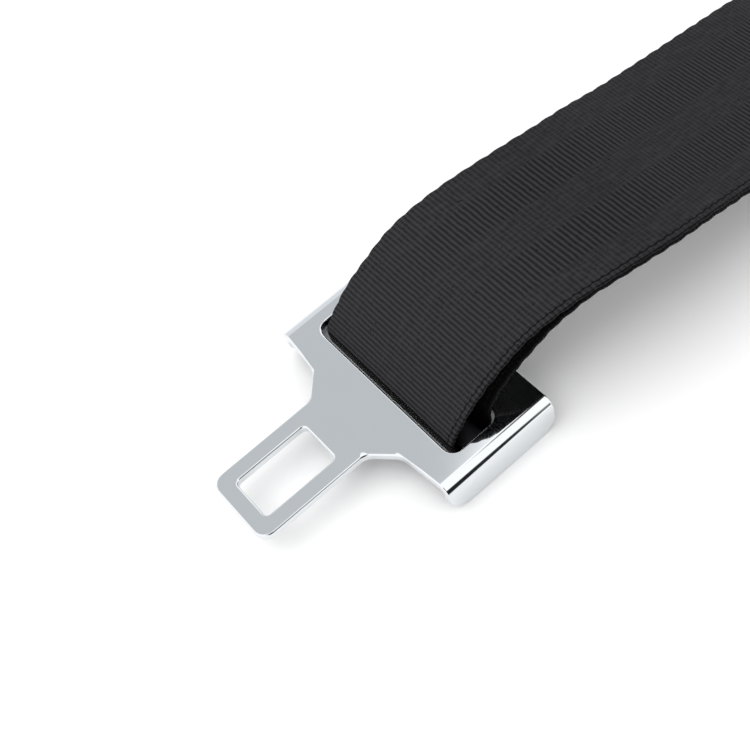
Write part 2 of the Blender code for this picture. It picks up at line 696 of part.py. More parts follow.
def pin_clip(parent):
    """Open spring ring in the pin's groove."""
    inside = PIVOT_DIAMETER / 2 - PIN_GROOVE + GAP
    outside = inside + 1.4 * MM
    opening = 50
    centre = Vector((0, 0))
    outer = arc(centre, outside, opening, 360 - opening, 14)
    inner = arc(centre, inside, 360 - opening, opening, 14)
    solid = block(outer + inner, 0, PIN_CLIP_THICKNESS)
    place = (LATCH_PIVOT_X, pin_ends() + GAP / 2, latch_pivot_z())
    return piece("pin_clip", laid(solid, (0, 1, 0), place), STEEL, parent, place)


def bridge_z():
    return WALL_HEIGHT + GAP


def rivet_x():
    return (BRIDGE_LUG_FRONT + BRIDGE_LUG_REAR) / 2


def rivet_z():
    return WALL_HEIGHT - 3.2 * MM


def spring_bridge(parent):
    """Bent cross piece: a lip up in front for the button springs, a lug down over each wall for its rivet."""
    bend_in = 0.8 * MM
    middle_radius = bend_in + BRIDGE_THICKNESS / 2
    lug_inside = CHANNEL_INSIDE / 2 + FRAME_THICKNESS + GAP
    bend_line = lug_inside - bend_in
    lug_half = bend_line + middle_radius * math.pi / 2 + BRIDGE_LUG_HEIGHT - bend_in
    lip_start = BRIDGE_FRONT - BRIDGE_THICKNESS - bend_in
    lip_flat = middle_radius * math.pi / 2 + BRIDGE_LIP_HEIGHT - bend_in
    lip_half = BUTTON_SPRING_SPACING / 2 + BUTTON_SPRING_DIAMETER / 2 + 1.2 * MM
    outline = mirrored_outline(
        [
            (BRIDGE_REAR, bend_line - 1 * MM, 1 * MM),
            (BRIDGE_LUG_REAR, bend_line - 1 * MM, 0.8 * MM),
            (BRIDGE_LUG_REAR, lug_half, 1.6 * MM),
            (BRIDGE_LUG_FRONT, lug_half, 1.6 * MM),
            (BRIDGE_LUG_FRONT, lip_half, 0.4 * MM),
            (lip_start + lip_flat, lip_half, 1.4 * MM),
        ],
        3,
    )
    low = bridge_z()
    middle = low + BRIDGE_THICKNESS / 2
    solid = plate(outline, [], low, low + BRIDGE_THICKNESS, 0.25 * MM)
    for side in (-1, 1):
        bend(solid, 1, side * bend_line, side, middle, middle_radius, math.pi / 2, False, steps=4)
    bend(solid, 0, lip_start, 1, middle, middle_radius, math.pi / 2, True, steps=4)
    bridge = piece("spring_bridge", solid, ZINC, parent)
    through = CHANNEL_INSIDE + 8 * FRAME_THICKNESS
    hole = turned([(RIVET_DIAMETER / 2 + GAP, 0), (RIVET_DIAMETER / 2 + GAP, through)])
    shape(bridge, laid(hole, (0, 1, 0), (rivet_x(), -through / 2, rivet_z())), "DIFFERENCE")
    return bridge


def bridge_rivet(parent, side, name):
    """Solid rivet through a lug and a wall, with a domed head on each side."""
    radius = RIVET_DIAMETER / 2
    inner = CHANNEL_INSIDE / 2 - GAP
    outer = CHANNEL_INSIDE / 2 + FRAME_THICKNESS + GAP + BRIDGE_THICKNESS + GAP
    profile = [(radius, inner - 0.8 * MM), (radius + 0.8 * MM, inner - 0.5 * MM), (radius + 1 * MM, inner)]
    profile += [(radius, inner), (radius, outer), (radius + 1.1 * MM, outer)]
    profile += [(radius + 0.8 * MM, outer + 0.7 * MM), (radius - 0.3 * MM, outer + 1.1 * MM)]
    solid = laid(turned(profile, 16), (0, side, 0), (rivet_x(), 0, rivet_z()))
    return piece(name, solid, STEEL, parent, (rivet_x(), side * outer, rivet_z()))


def press_button(parent):
    """Moulded button: a hollow block with a dished face, a collar, two spring pockets and two ramp arms."""
    half = BUTTON_WIDTH / 2
    front = box_outline(BUTTON_REAR, BUTTON_FRONT, BUTTON_WIDTH, BUTTON_CORNER, 3)
    body = block(front, BUTTON_BOTTOM, BUTTON_TOP, 0.8 * MM, BUTTON_ROUND, 3)
    button = piece("press_button", body, RED_PLASTIC, parent, (BUTTON_REAR, 0, BUTTON_BOTTOM))
    collar = box(
        BUTTON_REAR + 0.4 * MM, BUTTON_REAR + 1.8 * MM, -half - BUTTON_FLANGE, half + BUTTON_FLANGE,
        BUTTON_BOTTOM + 2 * MM, BUTTON_TOP - 4 * MM,
    )
    shape(button, collar, "UNION")
    hollow = box(
        BUTTON_REAR - 1 * MM, BUTTON_FRONT - BUTTON_FRONT_WALL, BUTTON_WALL - half, half - BUTTON_WALL,
        BUTTON_BOTTOM - 1 * MM, button_roof(),
    )
    shape(button, hollow, "DIFFERENCE")
    dish_radius = BUTTON_DISH_RADIUS
    past_face = BUTTON_WIDTH / 2
    dish = turned([(dish_radius, BUTTON_BOTTOM - past_face), (dish_radius, BUTTON_TOP + past_face)], 78)
    dish_x = BUTTON_FRONT + dish_radius - BUTTON_DISH_DEPTH
    shape(button, laid(dish, (0, 0, 1), (dish_x, 0, 0)), "DIFFERENCE")
    for side in (-1, 1):
        pocket_radius = BUTTON_SPRING_DIAMETER / 2 + SLIDE
        pocket = turned([(pocket_radius, -1 * MM), (pocket_radius, BUTTON_POCKET_DEPTH)])
        place = (BUTTON_REAR, side * BUTTON_SPRING_SPACING / 2, BUTTON_SPRING_Z)
        shape(button, laid(pocket, (1, 0, 0), place), "DIFFERENCE")
        shape(button, ramp_arm(side), "UNION")
    return button


def button_roof():
    """Height of the roof over the button's hollow, under its spring pockets."""
    return BUTTON_SPRING_Z - BUTTON_SPRING_DIAMETER / 2 - SLIDE - 1.2 * MM


def ramp_arm(side):
    """An arm along the inside of the wall, whose ramp lifts the latch's ear as the button goes in."""
    outside = CHANNEL_INSIDE / 2 - SLIDE
    inside = outside - ARM_THICKNESS
    reach = LATCH_EAR_FRONT - LATCH_PIVOT_X
    lift = math.radians(LATCH_LIFT)
    below = latch_pivot_z() - LATCH_UNDERSIDE
    rise = reach * math.sin(lift) + below * (1 - math.cos(lift))
    run = BUTTON_TRAVEL + reach * (math.cos(lift) - 1) + below * math.sin(lift)
    low = LATCH_UNDERSIDE - GAP
    arm_low = BUTTON_BOTTOM + 0.3 * MM
    profile = [
        (ARM_REAR, arm_low),
        (BUTTON_FRONT - 3 * MM, arm_low),
        (BUTTON_FRONT - 3 * MM, button_roof() + 0.5 * MM),
        (BUTTON_REAR + 1 * MM, button_roof() + 0.5 * MM),
        (BUTTON_REAR - 1 * MM, low + rise),
        (LATCH_EAR_FRONT + run, low + rise),
        (LATCH_EAR_FRONT, low),
        (ARM_REAR, low),
    ]
    rings = [[(x, side * y, z) for x, z in profile] for y in (inside, outside)]
    return loft(rings)


def ejector(parent):
    """Forked slider on the base plate, with a keel through the slot and a foot that holds it down."""
    half = CHANNEL_INSIDE / 2 - SLIDE - 0.4 * MM
    fork = EJECTOR_FORK_WIDTH / 2
    outline = rounded(
        [
            (EJECTOR_REAR, -half, 1 * MM),
            (EJECTOR_FRONT, -half, 1 * MM),
            (EJECTOR_FRONT, -fork, 0.8 * MM),
            (EJECTOR_REAR + EJECTOR_KEEL, -fork, 0.6 * MM),
            (EJECTOR_REAR + EJECTOR_KEEL, fork, 0.6 * MM),
            (EJECTOR_FRONT, fork, 0.8 * MM),
            (EJECTOR_FRONT, half, 1 * MM),
            (EJECTOR_REAR, half, 1 * MM),
        ],
        3,
    )
    slider = piece(
        "ejector", block(outline, GAP, EJECTOR_THICKNESS + GAP, 0, 0.3 * MM, 2), WHITE_PLASTIC, parent,
        (EJECTOR_REAR, 0, GAP),
    )
    keel_half = EJECTOR_SLOT_WIDTH / 2 - SLIDE
    foot_top = -FRAME_THICKNESS - GAP
    foot_bottom = COVER_BOTTOM + COVER_WALL + GAP
    keel_front = EJECTOR_REAR + EJECTOR_KEEL - 0.1 * MM
    rear = EJECTOR_REAR + 0.1 * MM
    keel = box(rear, keel_front, -keel_half, keel_half, foot_bottom + 0.2 * MM, GAP + 0.5 * MM)
    shape(slider, keel, "UNION")
    foot_half = keel_half + 1.2 * MM
    foot = box(rear - 0.05 * MM, keel_front + 0.05 * MM, -foot_half, foot_half, foot_bottom, foot_top)
    shape(slider, foot, "UNION")
    return slider


def springs(parent):
    """The ejector's, the latch's and the button's two compression springs."""
    middle = -FRAME_THICKNESS / 2
    start = EJECTOR_SLOT_REAR + GAP
    length = EJECTOR_REAR - GAP - start
    coil = spring(length, EJECTOR_SPRING_DIAMETER, EJECTOR_SPRING_WIRE, 9)
    place = (start, 0, middle)
    piece("ejector_spring", laid(coil, (1, 0, 0), place), SPRING_STEEL, parent, place)

    seat = LATCH_UNDERSIDE + LATCH_THICKNESS + GAP
    coil = spring(bridge_z() - GAP - seat, LATCH_SPRING_DIAMETER, LATCH_SPRING_WIRE, 4)
    place = (LATCH_SPRING_X, 0, seat)
    piece("latch_spring", laid(coil, (0, 0, 1), place), SPRING_STEEL, parent, place)

    start = BRIDGE_FRONT + GAP
    length = BUTTON_REAR + BUTTON_POCKET_DEPTH - GAP - start
    for side, name in ((1, "button_spring_left"), (-1, "button_spring_right")):
        coil = spring(length, BUTTON_SPRING_DIAMETER, BUTTON_SPRING_WIRE, 10)
        place = (start, side * BUTTON_SPRING_SPACING / 2, BUTTON_SPRING_Z)
        piece(name, laid(coil, (1, 0, 0), place), SPRING_STEEL, parent, place)


def screw_places():
    return [(x, side * BOSS_Y) for x in (REAR_SCREW_X, FRONT_SCREW_X) for side in (-1, 1)]


def cover_outline(grow=0.0):
    """The covers' outline from above, a little narrower at the tail, grown or shrunk by a distance."""
    half = COVER_WIDTH / 2
    outline = mirrored_outline(
        [
            (COVER_REAR, half - COVER_TAPER, COVER_REAR_CORNER),
            (COVER_REAR + COVER_TAPER_LENGTH, half, COVER_TAPER_BLEND),
            (COVER_FRONT, half, COVER_FRONT_CORNER),
        ]
    )
    return inset(outline, -grow)


def upper_cover(parent):
    low = COVER_SPLIT + GAP / 2
    shell = block(cover_outline(), low, COVER_TOP, 0, COVER_ROUND, 5)
    cover = piece("upper_cover", shell, BLACK_PLASTIC, parent, (0, 0, COVER_SPLIT))
    hollow = block(
        cover_outline(-COVER_WALL), low - 2 * MM, COVER_TOP - COVER_WALL, 0, COVER_ROUND - COVER_WALL, 3
    )
    shape(cover, hollow, "DIFFERENCE")
    for x, y in screw_places():
        radius = BOSS_DIAMETER / 2
        boss = turned([(radius, low), (radius, COVER_TOP - COVER_ROUND)], 12)
        shape(cover, laid(boss, (0, 0, 1), (x, y, 0)), "UNION")
    bore = SCREW_DIAMETER / 2 + SCREW_CLEARANCE
    for x, y in screw_places():
        hole = turned([(bore, low - 2 * MM), (bore, screw_tip() + 1 * MM)], 12)
        shape(cover, laid(hole, (0, 0, 1), (x, y, 0)), "DIFFERENCE")
    for side in (-1, 1):
        inner = BUTTON_WIDTH / 2 + SLIDE
        sides = sorted((side * inner, side * (COVER_WIDTH / 2 - 1 * MM)))
        stop_x = BUTTON_REAR + 1.8 * MM + GAP
        stop = box(stop_x, stop_x + 1.6 * MM, *sides, low, BUTTON_TOP - 3 * MM)
        shape(cover, stop, "UNION")
    button_hole = box_outline(
        COVER_FRONT - 12 * MM, COVER_FRONT + 8 * MM, BUTTON_WIDTH + 2 * SLIDE, BUTTON_CORNER, 2
    )
    shape(cover, block(button_hole, BUTTON_BOTTOM - SLIDE, BUTTON_TOP + SLIDE, 0, 2.0 * MM, 3), "DIFFERENCE")
    half = MOUTH_WIDTH / 2
    mouth = box(COVER_FRONT - 12 * MM, COVER_FRONT + 5 * MM, -half, half, low - 2 * MM, MOUTH_HEIGHT)
    shape(cover, mouth, "DIFFERENCE")
    button_middle = (BUTTON_BOTTOM + BUTTON_TOP) / 2
    thumb = turned([(THUMB_RADIUS, button_middle), (THUMB_RADIUS, COVER_TOP + COVER_WALL)], 48)
    thumb_x = COVER_FRONT + THUMB_RADIUS - THUMB_DEPTH
    shape(cover, laid(thumb, (0, 0, 1), (thumb_x, 0, 0)), "DIFFERENCE")
    shape(cover, tail_passage(), "DIFFERENCE")
    return cover


def tail_passage():
    """Where the frame's neck leaves the covers."""
    half = CHANNEL_INSIDE / 2 + FRAME_THICKNESS + SLIDE
    return box(COVER_REAR - 5 * MM, COVER_REAR + 6 * MM, -half, half, -FRAME_THICKNESS - GAP, GAP)


def lower_cover(parent):
    high = COVER_SPLIT - GAP / 2
    shell = block(cover_outline(), COVER_BOTTOM, high, COVER_UNDER_ROUND, 0, 4)
    cover = piece("lower_cover", shell, BLACK_PLASTIC, parent, (0, 0, COVER_BOTTOM))
    floor = COVER_BOTTOM + COVER_WALL
    hollow = block(cover_outline(-COVER_WALL), floor, high + 2 * MM, 0.6 * MM, 0, 2)
    shape(cover, hollow, "DIFFERENCE")
    for side in (-1, 1):
        rib = box(
            EJECTOR_SLOT_REAR, WALL_FRONT - 2 * MM, *sorted((side * 8 * MM, side * 9.6 * MM)),
            floor - 0.5 * MM, -FRAME_THICKNESS - GAP,
        )
        shape(cover, rib, "UNION")
    stop_x = EJECTOR_REAR + EJECTOR_KEEL + GAP
    stop = box(stop_x, stop_x + 1.6 * MM, -3.5 * MM, 3.5 * MM, floor - 0.5 * MM, -FRAME_THICKNESS - GAP)
    shape(cover, stop, "UNION")
    radius = BOSS_DIAMETER / 2
    for x, y in screw_places():
        boss = turned([(radius, floor - 0.5 * MM), (radius, high)], 12)
        shape(cover, laid(boss, (0, 0, 1), (x, y, 0)), "UNION")
    bore = SCREW_DIAMETER / 2 + SCREW_CLEARANCE
    head = SCREW_HEAD_DIAMETER / 2 + SCREW_CLEARANCE
    seat = COVER_BOTTOM + SCREW_HEAD_HEIGHT + 2 * GAP
    for x, y in screw_places():
        hole = turned([(head, COVER_BOTTOM - 1 * MM), (head, seat), (bore, seat), (bore, high + 1 * MM)], 12)
        shape(cover, laid(hole, (0, 0, 1), (x, y, 0)), "DIFFERENCE")
    lip = box(
        COVER_FRONT - COVER_WALL - 2 * MM, COVER_FRONT + 2 * MM, -MOUTH_WIDTH / 2, MOUTH_WIDTH / 2,
        -FRAME_THICKNESS, high + 2 * MM,
    )
    shape(cover, lip, "DIFFERENCE")
    shape(cover, tail_passage(), "DIFFERENCE")
    return cover


def screw_tip():
    return COVER_BOTTOM + GAP + SCREW_HEAD_HEIGHT + SCREW_LENGTH


def cover_screw(parent, number, x, y):
    """Pan-head screw with a cross recess, driven up from below."""
    head_low = COVER_BOTTOM + GAP
    head_high = head_low + SCREW_HEAD_HEIGHT
    radius = SCREW_DIAMETER / 2
    head = SCREW_HEAD_DIAMETER / 2
    tip = screw_tip()
    profile = [(head - 0.5 * MM, head_low), (head, head_low + 0.5 * MM), (head, head_high)]
    profile += [(radius, head_high), (radius, tip - 1.5 * MM), (0.3 * MM, tip)]
    solid = laid(turned(profile, 12), (0, 0, 1), (x, y, 0))
    screw = piece(f"cover_screw_{number}", solid, ZINC, parent, (x, y, head_high))
    low = head_low - 1 * MM
    high = head_low + 0.8 * MM
    for along_x, along_y in ((1.3 * MM, 0.3 * MM), (0.3 * MM, 1.3 * MM)):
        shape(screw, box(x - along_x, x + along_x, y - along_y, y + along_y, low, high), "DIFFERENCE")
    return screw


def build():
    tongue_plate()
    bight_rod()
    webbing_strap()
    buckle = empty("buckle", (BUCKLE_X, 0, BUCKLE_Z))
    buckle_frame(buckle)
    latch(buckle)
    latch_pin(buckle)
    pin_clip(buckle)
    spring_bridge(buckle)
    bridge_rivet(buckle, 1, "bridge_rivet_left")
    bridge_rivet(buckle, -1, "bridge_rivet_right")
    press_button(buckle)
    ejector(buckle)
    springs(buckle)
    upper_cover(buckle)
    lower_cover(buckle)
    for number, (x, y) in enumerate(screw_places(), 1):
        cover_screw(buckle, number, x, y)


clear_scene()
CHROME = material("chrome_plate", (0.72, 0.74, 0.76), 0.12, 1)
STEEL = material("bright_steel", (0.6, 0.6, 0.61), 0.3, 1)
ZINC = material("zinc_plated_steel", (0.55, 0.57, 0.58), 0.35, 1)
SPRING_STEEL = material("spring_steel", (0.35, 0.36, 0.38), 0.3, 1)
WEBBING = material("polyester_webbing", (0.024, 0.024, 0.026), 0.75, 0)
BLACKENED = material("blackened_steel", (0.03, 0.03, 0.032), 0.4, 0.6)
BLACK_PLASTIC = material("black_abs", (0.02, 0.02, 0.022), 0.45, 0)
RED_PLASTIC = material("red_acetal", (0.55, 0.02, 0.02), 0.35, 0)
WHITE_PLASTIC = material("natural_acetal", (0.75, 0.74, 0.7), 0.4, 0)
build()
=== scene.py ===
# %% [markdown]
# Seat belt extender: a chrome-plated tongue, a loop of black webbing and a push-button buckle.
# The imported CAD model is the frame. This lesson dresses it: it models the tongue, the rod, the webbing and the
# sewing again with more detail, gives every piece its finish, and sets a soft studio round it.

import math

import bmesh
import bpy
from mathutils import Matrix, Vector


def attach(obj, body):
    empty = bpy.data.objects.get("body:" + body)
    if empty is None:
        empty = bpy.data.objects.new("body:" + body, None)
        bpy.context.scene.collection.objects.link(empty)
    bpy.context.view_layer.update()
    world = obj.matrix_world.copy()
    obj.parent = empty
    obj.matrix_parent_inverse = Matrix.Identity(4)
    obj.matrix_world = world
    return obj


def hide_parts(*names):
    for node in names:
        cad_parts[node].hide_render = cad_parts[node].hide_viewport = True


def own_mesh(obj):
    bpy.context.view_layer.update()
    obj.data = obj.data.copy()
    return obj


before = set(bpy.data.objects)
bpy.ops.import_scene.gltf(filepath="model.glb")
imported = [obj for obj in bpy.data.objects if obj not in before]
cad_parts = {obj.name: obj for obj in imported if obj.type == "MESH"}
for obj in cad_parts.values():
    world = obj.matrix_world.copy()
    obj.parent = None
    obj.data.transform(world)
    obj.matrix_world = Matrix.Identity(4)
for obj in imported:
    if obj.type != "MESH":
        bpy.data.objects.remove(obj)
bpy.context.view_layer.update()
MM = 0.001

# %% [markdown]
# Sizes. These are the CAD's own sizes in millimetres: TIP is the tongue's tip in X, PLATE the height of the
# tongue's top face, BEND_LINE how far from the middle its sides turn down, and TAIL the buckle's rear end in X.
# Everything on the tongue is measured from its tip, as on a drawing of it.

# %% Sizes
TIP = -321.25
PLATE = 11.5
THICK = 2.5
BEND_LINE = 29.2
BEND_RADIUS = 3.6
BUCKLE_X = 3.25
BUCKLE_Z = 6.5
TAIL = BUCKLE_X - 58
WEB_WIDTH = 48
WEB_THICK = 1.2


# %% [markdown]
# A few helpers. Each new piece starts as a primitive at its size and place, and faces, edges and points are
# selected by where they lie. Sizes go in as millimetres and Blender gets metres.

# %% Helpers for modelling
def start(kind, name, **where):
    """Adds a primitive with nothing else selected, and puts its place, turn and size into its mesh."""
    for other in bpy.context.selected_objects:
        other.select_set(False)
    getattr(bpy.ops.mesh, f"primitive_{kind}_add")(**where)
    obj = bpy.context.object
    obj.name = obj.data.name = name
    bpy.ops.object.transform_apply(location=True, rotation=True, scale=True)
    return obj


def block(name, low, high):
    """A block between two corners in millimetres."""
    middle = [(a + b) / 2 * MM for a, b in zip(low, high)]
    size = [(b - a) * MM for a, b in zip(low, high)]
    return start("cube", name, size=1, location=middle, scale=size)


def pick(obj, kind, test):
    """Selects the points, edges or faces whose middle, in millimetres, passes a test."""
    bpy.ops.mesh.select_mode(type={"verts": "VERT", "edges": "EDGE", "faces": "FACE"}[kind])
    bpy.ops.mesh.select_all(action="DESELECT")
    mesh = bmesh.from_edit_mesh(obj.data)
    for item in getattr(mesh, kind):
        points = [item] if kind == "verts" else item.verts
        middle = sum((p.co for p in points), Vector()) / len(points) / MM
        span = Vector([(max(p.co[i] for p in points) - min(p.co[i] for p in points)) / MM for i in range(3)])
        if test(middle, span):
            item.select_set(True)
    mesh.select_flush_mode()
    bmesh.update_edit_mesh(obj.data)


def edit(obj):
    """Opens a piece in edit mode."""
    bpy.context.view_layer.objects.active = obj
    bpy.ops.object.mode_set(mode="EDIT")


def leave():
    """Goes back to object mode."""
    bpy.ops.object.mode_set(mode="OBJECT")


def modify(obj, kind, **settings):
    """Adds a modifier and applies it."""
    modifier = obj.modifiers.new(kind.title(), kind)
    for key, value in settings.items():
        setattr(modifier, key, value)
    bpy.context.view_layer.objects.active = obj
    bpy.ops.object.modifier_apply(modifier=modifier.name)


def cut(obj, cutter):
    """Takes the cutter's shape out of a piece, and then removes the cutter."""
    modify(obj, "BOOLEAN", operation="DIFFERENCE", solver="EXACT", object=cutter)
    bpy.data.objects.remove(cutter)


def near(value, target):
    """Whether a length lies within 0.02 mm of a target."""
    return abs(value - target) < 0.02


# %% [markdown]
# The tongue is one steel pressing: blanked, bent down on both sides and chromed. It starts as a block as wide as
# the flat part. Three bisect cuts give it rows of points, and the front rows are drawn in for the tab and its
# slanted neck. The sides are then spun down round the bend line and extruded to the flanges' lower edge, which
# is what the press does to the blank.

# %% Tongue: blank
TAB_BACK = 31.8
TAB_HALF = 10.75
NECK_BACK = 37.9
NECK_HALF = 17.2
FLANGE_FRONT = 39.1
FLANGE_BACK = 73.1
tongue = block("chromed_tongue", (TIP, -BEND_LINE, PLATE - THICK), (TIP + FLANGE_BACK, BEND_LINE, PLATE))
edit(tongue)
for row in (TAB_BACK, NECK_BACK, FLANGE_FRONT):
    bpy.ops.mesh.select_all(action="SELECT")
    bpy.ops.mesh.bisect(plane_co=((TIP + row) * MM, 0, 0), plane_no=(1, 0, 0))
for first, last, half in ((0, TAB_BACK, TAB_HALF), (NECK_BACK, NECK_BACK, NECK_HALF)):
    pick(tongue, "verts", lambda at, span: first - 0.1 < at.x - TIP < last + 0.1)
    bpy.ops.transform.resize(value=(1, half / BEND_LINE, 1), center_override=(0, 0, 0))

# %% Tongue: flanges
for side in (-1, 1):
    pick(tongue, "faces", lambda at, span: near(at.y, side * BEND_LINE) and at.x - TIP > FLANGE_FRONT)
    bend_at = (0, side * BEND_LINE * MM, (PLATE - BEND_RADIUS) * MM)
    bpy.ops.mesh.spin(steps=14, angle=math.pi / 2, center=bend_at, axis=(side, 0, 0))
    drop = (0, 0, -(PLATE - BEND_RADIUS) * MM)
    bpy.ops.mesh.extrude_region_move(TRANSFORM_OT_translate={"value": drop})
bpy.ops.mesh.select_all(action="SELECT")
bpy.ops.mesh.remove_doubles(threshold=0.00001)
bpy.ops.mesh.normals_make_consistent(inside=False)

# %% Tongue: rounded corners
for x, y, radius in ((0, TAB_HALF, 3.6), (TAB_BACK, TAB_HALF, 1.7), (NECK_BACK, NECK_HALF, 1.7)):
    pick(
        tongue, "edges",
        lambda at, span: near(at.x - TIP, x) and near(abs(at.y), y) and near(at.z, PLATE - THICK / 2),
    )
    bpy.ops.mesh.bevel(offset=radius * MM, segments=8, affect="EDGES")
for x, radius in ((FLANGE_FRONT, 7), (FLANGE_BACK, 5)):
    pick(tongue, "edges", lambda at, span: near(at.x - TIP, x) and near(at.z, 0) and span.y > 2)
    bpy.ops.mesh.bevel(offset=radius * MM, segments=10, affect="EDGES")
leave()


# %% Tongue: window and slot
def rounded_cutter(front, back, half, radius):
    """A block with rounded upright edges, taller than the plate. Front and back are counted from the tip."""
    made = block("cutter", (TIP + front, -half, PLATE - 2 * THICK), (TIP + back, half, PLATE + THICK))
    edit(made)
    pick(made, "edges", lambda at, span: span.z > THICK)
    bpy.ops.mesh.bevel(offset=radius * MM, segments=8, affect="EDGES")
    leave()
    return made


cut(tongue, rounded_cutter(front=4.7, back=26.3, half=6.25, radius=1.3))
cut(tongue, rounded_cutter(front=46.3, back=61.6, half=26, radius=3))
modify(
    tongue, "BEVEL", width=0.5 * MM, segments=3, limit_method="ANGLE", angle_limit=math.radians(50),
    use_clamp_overlap=False,
)
tongue.data.shade_smooth()
modify(tongue, "WEIGHTED_NORMAL", keep_sharp=True)
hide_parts("tongue_plate")
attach(tongue, "tongue")
print("tongue:", len(tongue.data.polygons), "faces")

# %% [markdown]
# The rod lies in the webbing's bight under the slot. It is too long to come through, so the belt's pull is
# carried by the two ends of the slot. It is dark black-oxide steel, and its dark colour also stands in for the deep
# shade inside the slot, where it hardly shows. A cylinder with bevelled ends does.

# %% Rod
ROD_X = TIP + 54.05
ROD_Z = 5.5
ROD_RADIUS = 3.2
ROD_LENGTH = 59
rod = start(
    "cylinder", "blackened_rod_and_slot_shade", vertices=48, radius=ROD_RADIUS * MM, depth=ROD_LENGTH * MM,
    location=(ROD_X * MM, 0, ROD_Z * MM), rotation=(math.pi / 2, 0, 0),
)
modify(rod, "BEVEL", width=0.6 * MM, segments=3, limit_method="ANGLE", angle_limit=math.radians(50))
rod.data.shade_smooth()
modify(rod, "WEIGHTED_NORMAL", keep_sharp=True)
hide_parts("bight_rod")
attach(rod, "strap")
print("rod:", len(rod.data.polygons), "faces")


# %% [markdown]
# The webbing is one length of woven belt. Its route is worked out as a line in X and Z: from its hidden end it
# runs under the strap to the tongue, round the rod, back over the top, round the buckle's tail bar and forward
# again under the sewing. A row of points is then extruded along that line, one step after another.

# %% Webbing: route
def smooth_line(points, step):
    """Points about a step apart on one smooth curve through the given points."""
    ends = [points[0] * 2 - points[1], *points, points[-1] * 2 - points[-2]]
    line = []
    for before, first, second, after in zip(ends, ends[1:], ends[2:], ends[3:]):
        chord = (second - first).length
        lead_in = (second - before).normalized() * chord
        lead_out = (after - first).normalized() * chord
        count = max(1, round(chord / step))
        for i in range(count):
            t = i / count
            start_part = first * (2 * t**3 - 3 * t**2 + 1) + lead_in * (t**3 - 2 * t**2 + t)
            line.append(start_part + second * (3 * t**2 - 2 * t**3) + lead_out * (t**3 - t**2))
    return [*line, points[-1]]


def arc(centre, radius, first, last, steps):
    """Points on an arc from a first to a last angle, in degrees."""
    turns = [math.radians(first + (last - first) * i / steps) for i in range(steps + 1)]
    return [centre + Vector((math.cos(a), math.sin(a))) * radius for a in turns]


def beside(line, distance):
    """The line moved to its left."""
    moved = []
    for i, point in enumerate(line):
        along = (line[min(i + 1, len(line) - 1)] - line[max(i - 1, 0)]).normalized()
        moved.append(point + Vector((-along.y, along.x)) * distance)
    return moved


def on_tongue(*pairs):
    """Points from pairs of the distance behind the tongue's tip and the height over its top face."""
    return [Vector((TIP + u, PLATE + z)) for u, z in pairs]


STEP = 1.0
LAYER = WEB_THICK + 0.3
BAR_TOP = BUCKLE_Z + 0.7 + WEB_THICK / 2
# The two bights are half circles: a loose one round the rod and a close one round the buckle's tail bar.
rod_bight = arc(Vector((ROD_X, ROD_Z + 1.4)), 5.65, 0, -180, 20)
tail_bight = arc(Vector((TAIL + 6.3, BUCKLE_Z - 1.25)), 2.55, 90, -90, 12)
over = on_tongue((48.6, 0), (52.3, 4.7), (57.8, 9.6), (64.5, 13.6), (73, 18.9), (83, 23), (92.3, 25.7))
over += on_tongue((104, 27.7), (112, 27.9), (120, 27.2), (135.4, 23.8), (153, 20.9), (171.8, 18.1), (185.2, 15.7))
over += [Vector((TAIL - back, BAR_TOP + up)) for back, up in ((56, 11.2), (30, 4.6), (12, 0.8), (-1, 0))]
upper = smooth_line([rod_bight[-1], *over, tail_bight[0]], STEP)[1:-1]

SEWN_REAR = TAIL - 14
SEWN_FRONT = SEWN_REAR - 47
hidden_end = [p for p in beside(upper, -LAYER) if TIP + 89 < p.x < SEWN_REAR]
return_end = [p for p in beside(upper, -2 * LAYER) if SEWN_FRONT < p.x < SEWN_REAR]
over_edge = on_tongue((81, 19), (75, 14.3), (69.8, 10.3), (65.8, 7.1), (63, 4.4), (61, 1.6), (60.2, -1), (60.3, -3))
under = smooth_line([hidden_end[1], hidden_end[0], *over_edge, rod_bight[0]], STEP)
under = [p for p in under if p.x < hidden_end[0].x - STEP / 2][:-1]
back = smooth_line([tail_bight[-1], Vector((TAIL, tail_bight[-1].y)), return_end[-1], return_end[-2]], STEP)
back = [p for p in back[1:] if p.x > return_end[-1].x + STEP / 2]
route = [*hidden_end[::-1], *under, *rod_bight, *upper, *tail_bight, *back, *return_end[::-1]]


BOW = 11
BOW_BEGINS, BOW_FULL = TIP + 60, TIP + 120
BOW_WANES, BOW_ENDS = TIP + 190, TAIL - 6


def drift(x):
    """How far the strap has bowed to the -Y side at X."""
    if x < BOW_FULL:
        share = min(max((x - BOW_BEGINS) / (BOW_FULL - BOW_BEGINS), 0), 1)
    else:
        share = 1 - min(max((x - BOW_WANES) / (BOW_ENDS - BOW_WANES), 0), 1)
    return -BOW * (1 - math.cos(math.pi * share)) / 2


# %% [markdown]
# The row across the webbing has a point at each border between its smooth and ribbed panels, and two close to
# each edge. The filling yarn pulls the edges in at every fourth turn or so, which leaves shallow scallops: after
# each extrusion the row is drawn in or out a little about its middle.

# %% Webbing: extrude the row along the route
HALF = WEB_WIDTH / 2
SCALLOP_PITCH = 4.7
SCALLOP_DEPTH = 0.3


def scallop(length):
    """Share of the full width at a length along the belt."""
    return 1 - SCALLOP_DEPTH / HALF * (1 - abs(math.sin(math.pi * length / SCALLOP_PITCH)))


